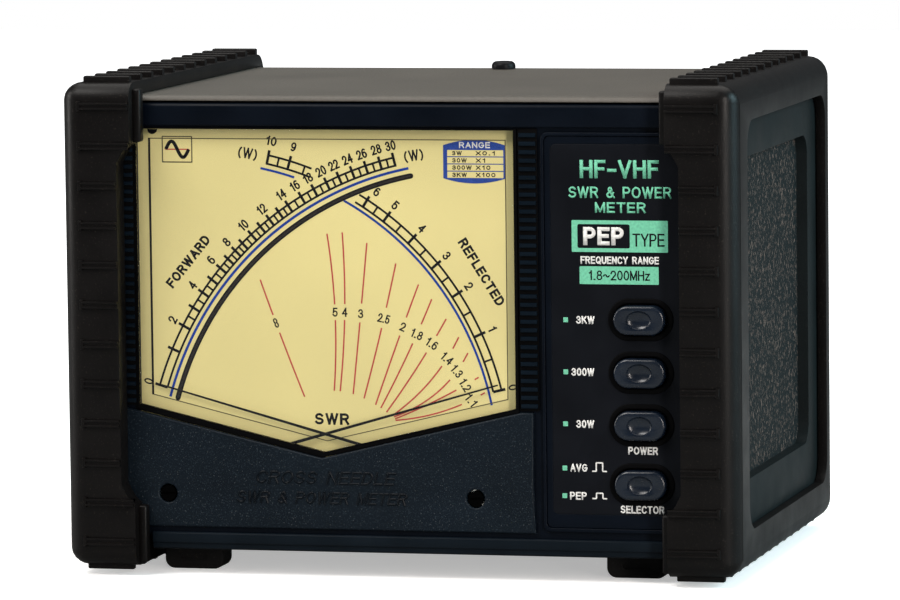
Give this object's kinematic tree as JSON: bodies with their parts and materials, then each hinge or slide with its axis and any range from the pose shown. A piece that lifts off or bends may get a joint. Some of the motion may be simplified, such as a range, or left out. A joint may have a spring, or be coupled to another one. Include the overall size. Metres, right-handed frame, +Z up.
{
  "type": "swr meter",
  "caption": "Bench SWR and power meter: crossed-needle dial, push buttons and coaxial sockets in a steel case with ribbed end bumpers.",
  "frame": {"origin": "centre of the footprint, on the surface that the feet stand on", "axes": "+Z up, +Y to the back, so the dial faces -Y, and +X to the right of a person who reads the dial"},
  "size_m": [0.18, 0.1326, 0.1312],
  "materials": {
    "bumper_plastic": "moulded black, lightly grained",
    "cheek_plastic": "moulded slate, pebbled pocket",
    "case_paint": "fine grey-brown texture paint",
    "chassis_steel": "zinc plated",
    "bezel_plastic": "satin blue-black",
    "lower_cover_plastic": "fine speckled slate blue",
    "label_ink": "screen printed near black",
    "button_plastic": "polished dark blue",
    "dial_card": "printed warm yellow",
    "clear_plastic": "clear moulded",
    "black_plastic": "moulded black",
    "needle_paint": "matte black",
    "soft_iron": "ground",
    "copper_wire": "enamelled winding",
    "tinplate": "tinned",
    "ferrite": "sintered grey",
    "board_laminate": "green solder mask",
    "nickel_plating": "bright nickel",
    "insulator_plastic": "off-white",
    "contact_plating": "gilt",
    "rubber": "matte black"
  },
  "bodies": {
    "case": {"bumper_right": "bumper_plastic", "bumper_left": "bumper_plastic", "cheek_right": "cheek_plastic", "cheek_left": "cheek_plastic", "top_cover": "case_paint", "bottom_chassis": "chassis_steel", "rear_panel": "case_paint", "top_cover_screw": "black_plastic", "foot_front_left": "rubber", "foot_front_right": "rubber", "foot_rear_left": "rubber", "foot_rear_right": "rubber", "front_bezel": "bezel_plastic", "lower_cover": "lower_cover_plastic", "meter_window": "clear_plastic", "meter_trim_right": "bezel_plastic", "meter_trim_left": "bezel_plastic", "dial_plate": "dial_card", "meter_case": "black_plastic", "dial_lamp_left": "clear_plastic", "dial_lamp_right": "clear_plastic", "control_panel": "bezel_plastic", "label_plate": "label_ink", "switch_board": "board_laminate", "coupler_box": "tinplate", "coupler_lid": "tinplate", "coupler_board": "board_laminate", "coupler_line": "copper_wire", "coupler_toroid": "ferrite", "dc_jack": "black_plastic", "dc_pin": "nickel_plating", "forward_yoke": "soft_iron", "forward_core": "soft_iron", "reflected_yoke": "soft_iron", "reflected_core": "soft_iron", "switch_3kw": "black_plastic", "switch_300w": "black_plastic", "switch_30w": "black_plastic", "switch_selector": "black_plastic", "transmitter_connector": "nickel_plating", "transmitter_insulator": "insulator_plastic", "transmitter_contact": "contact_plating", "antenna_connector": "nickel_plating", "antenna_insulator": "insulator_plastic", "antenna_contact": "contact_plating"},
    "forward_movement": {"forward_needle": "needle_paint", "forward_coil": "copper_wire", "forward_hairspring": "contact_plating"},
    "reflected_movement": {"reflected_needle": "needle_paint", "reflected_coil": "copper_wire", "reflected_hairspring": "contact_plating"},
    "forward_zero_arm": {"forward_zero_arm": "nickel_plating"},
    "forward_zero_screw": {"forward_zero_screw": "black_plastic"},
    "reflected_zero_arm": {"reflected_zero_arm": "nickel_plating"},
    "reflected_zero_screw": {"reflected_zero_screw": "black_plastic"},
    "button_3kw": {"button_3kw": "button_plastic"},
    "button_300w": {"button_300w": "button_plastic"},
    "button_30w": {"button_30w": "button_plastic"},
    "button_selector": {"button_selector": "button_plastic"}
  },
  "joints": [
    {"name": "forward_zero_turn", "type": "hinge", "parent": "case", "child": "forward_zero_screw", "pos_m": [0.01892, -0.0582, 0.0215], "axis": [0, 1, 0], "range_deg": [-25, 25]},
    {"name": "forward_zero_lever", "type": "hinge", "parent": "case", "child": "forward_zero_arm", "pos_m": [0.01806, -0.0553, 0.0266], "axis": [0, 1, 0], "range_deg": [-4.25, 4.25]},
    {"name": "reflected_zero_turn", "type": "hinge", "parent": "case", "child": "reflected_zero_screw", "pos_m": [-0.06405, -0.0582, 0.0215], "axis": [0, 1, 0], "range_deg": [-25, 25]},
    {"name": "reflected_zero_lever", "type": "hinge", "parent": "case", "child": "reflected_zero_arm", "pos_m": [-0.05365, -0.0553, 0.0283], "axis": [0, 1, 0], "range_deg": [-2.06, 2.06]},
    {"name": "forward_deflection", "type": "hinge", "parent": "forward_zero_arm", "child": "forward_movement", "pos_m": [0.01806, -0.0565, 0.0266], "axis": [0, 1, 0], "range_deg": [0, 60], "stiffness_Nm_per_rad": 0.002, "springref_deg": -5.73},
    {"name": "reflected_deflection", "type": "hinge", "parent": "reflected_zero_arm", "child": "reflected_movement", "pos_m": [-0.05365, -0.056, 0.0283], "axis": [0, -1, 0], "range_deg": [0, 42], "stiffness_Nm_per_rad": 0.002, "springref_deg": -5.73},
    {"name": "press_3kw", "type": "slide", "parent": "case", "child": "button_3kw", "axis": [0, 1, 0], "range_m": [0, 0.003], "stiffness_N_per_m": 300, "springref_m": -0.004},
    {"name": "press_300w", "type": "slide", "parent": "case", "child": "button_300w", "axis": [0, 1, 0], "range_m": [0, 0.003], "stiffness_N_per_m": 300, "springref_m": -0.004},
    {"name": "press_30w", "type": "slide", "parent": "case", "child": "button_30w", "axis": [0, 1, 0], "range_m": [0, 0.003], "stiffness_N_per_m": 300, "springref_m": -0.004},
    {"name": "press_selector", "type": "slide", "parent": "case", "child": "button_selector", "axis": [0, 1, 0], "range_m": [0, 0.003], "stiffness_N_per_m": 300, "springref_m": -0.004}
  ],
  "couplings": [
    {"joint": "forward_zero_lever", "follows": "forward_zero_turn", "ratio": 0.162},
    {"joint": "reflected_zero_lever", "follows": "reflected_zero_turn", "ratio": 0.0745}
  ]
}
